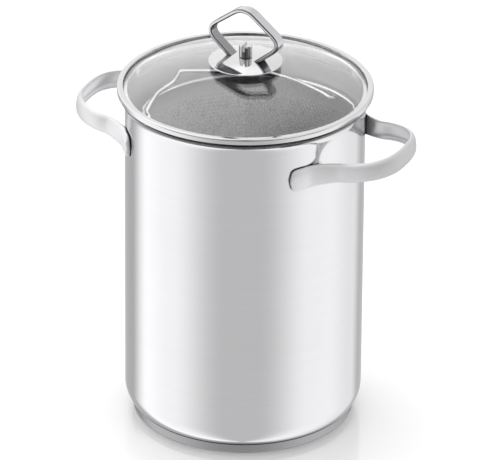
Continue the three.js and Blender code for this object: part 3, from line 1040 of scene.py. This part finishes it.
def make_post():
    low, high = disc_top(0) + GAP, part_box("knob_post")[1].z
    radius, bore = 0.0045, KNOB_BORE
    slot_width, slot_depth, slot_reach = 0.0024, 0.0036, 0.01
    roof = high - slot_depth - 0.001
    post = turned(
        "knob_sleeve",
        [
            (bore, low, 0), (radius, low, 0.0002), (radius, high, 0.0006), (0, high, 0),
            (0, roof, 0), (bore, roof, 0),
        ],
    )
    verts = [
        (sx * slot_width / 2, sy * slot_reach, high + sz * slot_depth)
        for sx in (-1, 1) for sy in (-1, 1) for sz in (-1, 1)
    ]
    faces = [(0, 1, 3, 2), (4, 6, 7, 5), (0, 4, 5, 1), (2, 3, 7, 6), (0, 2, 6, 4), (1, 5, 7, 3)]
    cut(post, link("slot", verts, faces))
    dress(post, "lid", "polished_steel", DISC_STEEL, "knob_post")


LOOP = {
    "foot": 0.012,
    "corner": (0.0298, 0.0143),
    "apex": 0.0365,
    "corner_trim": 0.0105,
    "apex_trim": 0.010,
    "width": 0.0085,
    "thickness": 0.0028,
    "turn": -6,
    "ease": 0.0010,
    "base": 0.00115,  # the plane of the feet over the disc
    "feet": -0.0009,  # where the feet are cut off, from that plane
}
BEND_STEPS = 24


def loop_line():
    """Centre line of the bent strap in its own plane, with eased bends."""
    foot, corner = Vector((LOOP["foot"], 0)), Vector(LOOP["corner"])
    apex = Vector((0, LOOP["apex"]))
    line = []

    def bend(before, at, after, trim):
        a = at + (before - at).normalized() * trim
        b = at + (after - at).normalized() * trim
        for k in range(BEND_STEPS + 1):
            t = k / BEND_STEPS
            line.append(a * (1 - t) ** 2 + at * (2 * t * (1 - t)) + b * t**2)

    def mirrored(p):
        return Vector((-p.x, p.y))

    line.append(foot)
    bend(foot, corner, apex, LOOP["corner_trim"])
    bend(corner, apex, mirrored(corner), LOOP["apex_trim"])
    bend(apex, mirrored(corner), mirrored(foot), LOOP["corner_trim"])
    line.append(mirrored(foot))
    return evenly([p.to_3d() for p in line], 0.0008)


def make_loop():
    w, t, ease = LOOP["width"] / 2, LOOP["thickness"] / 2, LOOP["ease"]
    section = rounded([(-w, -t, ease), (w, -t, ease), (w, t, ease), (-w, t, ease)], True, math.radians(22))
    turn = Matrix.Rotation(math.radians(LOOP["turn"]), 3, "Z")
    base = disc_top(LOOP["foot"]) + LOOP["base"]
    line = loop_line()
    last = len(line) - 1
    sections = []
    for i, point in enumerate(line):
        ahead = (line[min(i + 1, last)] - line[max(i - 1, 0)]).normalized()
        out = Vector((ahead.y, -ahead.x, 0))
        ring = []
        for across, thick in section:
            p = point + out * thick
            if i in (0, last):  # the feet are cut off level with the disc
                p = p + ahead * ((LOOP["feet"] - p.y) / ahead.y)
            ring.append(turn @ Vector((p.x, across, p.y)) + Vector((0, 0, base)))
        sections.append(ring)
    grip = dress(skin("knob_grip", sections), "lid", "satin_steel", LOOP_STEEL, "knob_loop")
    add_materials(grip, LOOP_INSIDE_SHADE, LOOP_CORNER_REFLECTION)
    size, margin = len(section), 0.0001
    for index, face in enumerate(grip.data.polygons):
        if index >= last * size:  # the two ends
            continue
        here, there = section[index % size], section[(index + 1) % size]
        across, thick = (here[0] + there[0]) / 2, (here[1] + there[1]) / 2
        # painted shade: the middle of the loop's inner face gets the dark inside material
        if abs(across) < w * 0.5 and thick < 0:
            face.material_index = 1
        # painted dark reflection: the loop's rounded edges get the near-black corner material
        elif abs(across) < w - margin and abs(thick) < t - margin:
            if thick < 0 or abs(across) < w * 0.93:
                face.material_index = 2


def make_fasteners():
    for node, name in (("knob_seal_top", "seal_upper"), ("knob_seal_bottom", "seal_lower")):
        low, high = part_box(node)
        outer = high.x
        seal = turned(
            name,
            [
                (KNOB_BORE, low.z, 0.0002), (outer, low.z, 0.0005),
                (outer, high.z, 0.0005), (KNOB_BORE, high.z, 0.0002),
            ],
        )
        dress(seal, "lid", "silicone", SILICONE, node)
    low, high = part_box("knob_washer")
    washer = turned(
        "washer",
        [
            (KNOB_BORE, low.z, 0.0001), (high.x, low.z, 0.0003),
            (high.x, high.z, 0.0002), (KNOB_BORE, high.z, 0.0001),
        ],
    )
    dress(washer, "lid", "satin_steel", BASKET_STEEL, "knob_washer")
    low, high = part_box("knob_screw")
    head, shank, head_height = 0.005, 0.0025, 0.0024
    screw = turned(
        "screw",
        [
            (0, low.z, 0), (head, low.z, 0.0014), (head, low.z + head_height, 0.0002),
            (shank, low.z + head_height, 0.0001), (shank, high.z, 0.0004), (0, high.z, 0),
        ],
        False,
    )
    dress(screw, "lid", "satin_steel", BASKET_STEEL, "knob_screw")


def dress_hidden():
    """The aluminium core and the rim wire are sealed in; they keep their CAD shape."""
    for node, material in (("base_core", ALUMINIUM), ("basket_rim_wire", BASKET_STEEL)):
        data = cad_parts[node].data
        data.materials.clear()
        data.materials.append(material)


# materials given crevice get painted shade in their crevices
POLISHED = steel(
    "pot_polish", (0.632, 0.629, 0.642), 0.10, fine=500.0, spread=0.03, bump=0.006, crevice=0.007
)
INSIDE_STEEL = steel(
    "pot_inside", (0.91, 0.91, 0.92), 0.34, fine=700.0, spread=0.08, bump=0.02, metallic=0.3
)
BASE_STEEL = steel("base_satin", (0.33, 0.33, 0.34), 0.36, fine=1600.0, spread=0.1, bump=0.05)
# the strap gets painted shade in its crevices and towards the grip's outer end
SATIN_STRAP = steel(
    "strap_satin", (0.77, 0.77, 0.78), 0.55, lie="along", fine=1500.0, spread=0.08, bump=0.02,
    crevice=0.004, metallic=0.5, grip_end_shade=[(0.80, 1.0), (0.98, 0.70)],
)
STRAP_INSIDE = steel(
    "strap_inside", (0.92, 0.92, 0.93), 0.34, lie="along", fine=900.0, bump=0.01, crevice=0.002, metallic=0.6
)
BASKET_STEEL = steel(
    "basket_satin", (0.355, 0.346, 0.37), 0.40, fine=1200.0, spread=0.08, bump=0.02, metallic=0.6
)
BASKET_OUTSIDE = steel(
    "basket_outside", (0.60, 0.60, 0.61), 0.30, fine=1200.0, spread=0.08, bump=0.02, metallic=0.85
)
WIRE_STEEL = steel("wire_polish", (0.68, 0.68, 0.69), 0.16, lie="along", fine=700.0, spread=0.04, bump=0.005)
BAND_STEEL = steel("band_polish", (0.60, 0.60, 0.605), 0.09, fine=600.0, spread=0.03, bump=0.004)
DISC_STEEL = steel("disc_polish", (0.60, 0.60, 0.605), 0.06, fine=700.0, spread=0.03, bump=0.004)
LOOP_STEEL = steel(
    "loop_satin", (0.54, 0.54, 0.55), 0.12, lie="along", fine=1600.0, spread=0.06, bump=0.01, crevice=0.006
)
# painted shade: a darker copy of the loop steel for the loop's shaded inner face
LOOP_INSIDE_SHADE = steel(
    "loop_inside_painted_shade", (0.26, 0.26, 0.27), 0.16, lie="along", fine=1600.0, spread=0.08, bump=0.01, crevice=0.006
)
# painted dark reflection: near-black steel for dark lines along the loop's edges
LOOP_CORNER_REFLECTION = steel("loop_corner_painted_reflection", (0.06, 0.06, 0.065), 0.14, lie="along", fine=900.0, bump=0.01)
# painted shade: near-black steel for the shaded gap under the lid band
UNDERSIDE_SHADE = steel("band_underside_painted_shade", (0.035, 0.035, 0.04), 0.2, fine=600.0, bump=0.01)
# painted highlight: near-white steel for bright arcs on the flare and the lid skirt
EDGE_HIGHLIGHT = steel(
    "edge_painted_highlight", (0.9, 0.9, 0.9), 0.2, fine=600.0, spread=0.03, bump=0.006, metallic=0.7
)
ALUMINIUM = steel("core_aluminium", (0.72, 0.73, 0.75), 0.45, fine=700.0, spread=0.1, bump=0.05)
GLASS = glass("lid_clear")
SILICONE = silicone("seal_silicone")

make_camera()
make_world()
make_floor()
make_pot()
make_base()
make_handle("strap_handle_right", "side_handle_right", 1)
make_handle("strap_handle_left", "side_handle_left", -1)
make_basket_wall()
make_basket_floor()
make_basket_foot()
make_bail("wire_bail_back", "basket_bail_back", "bail_back", BAIL_COMPASS[0])
make_bail("wire_bail_front", "basket_bail_front", "bail_front", BAIL_COMPASS[1])
make_band()
make_pane()
make_knob_disc()
make_post()
make_loop()
make_fasteners()
dress_hidden()

view = bpy.context.scene.view_settings
view.view_transform = "Standard"
view.exposure = 0.0
